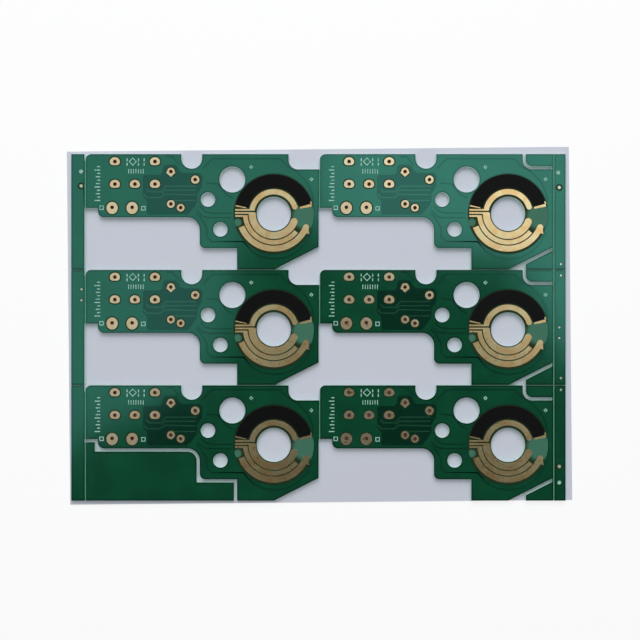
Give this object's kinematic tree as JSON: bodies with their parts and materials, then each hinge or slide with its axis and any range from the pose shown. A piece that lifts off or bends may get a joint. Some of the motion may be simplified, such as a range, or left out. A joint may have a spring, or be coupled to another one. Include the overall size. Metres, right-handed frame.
{
  "type": "printed circuit board panel",
  "caption": "Bare glass-epoxy circuit board panel, routed and V-scored into small boards, each with a round shaft hole, gold contact arcs and a carbon resistor arc.",
  "frame": {"origin": "middle of the panel's underside", "axes": "+X along the panel towards the narrower rail, +Y up the printed face as the picture shows it, +Z out of the printed face"},
  "size_m": [0.1258, 0.0882, 0.0016],
  "materials": {
    "green_fr4": "glossy green solder mask over glass-epoxy laminate",
    "gold_plating": "matt gold plating over copper",
    "carbon_ink": "screen-printed carbon ink"
  },
  "bodies": {
    "root": {"laminate_panel": "green_fr4", "upper_contact_arcs": "gold_plating", "inner_contact_arcs": "gold_plating", "middle_contact_arcs": "gold_plating", "outer_contact_arcs": "gold_plating", "left_electrodes": "gold_plating", "right_electrodes": "gold_plating", "carbon_arcs": "carbon_ink"}
  },
  "joints": []
}
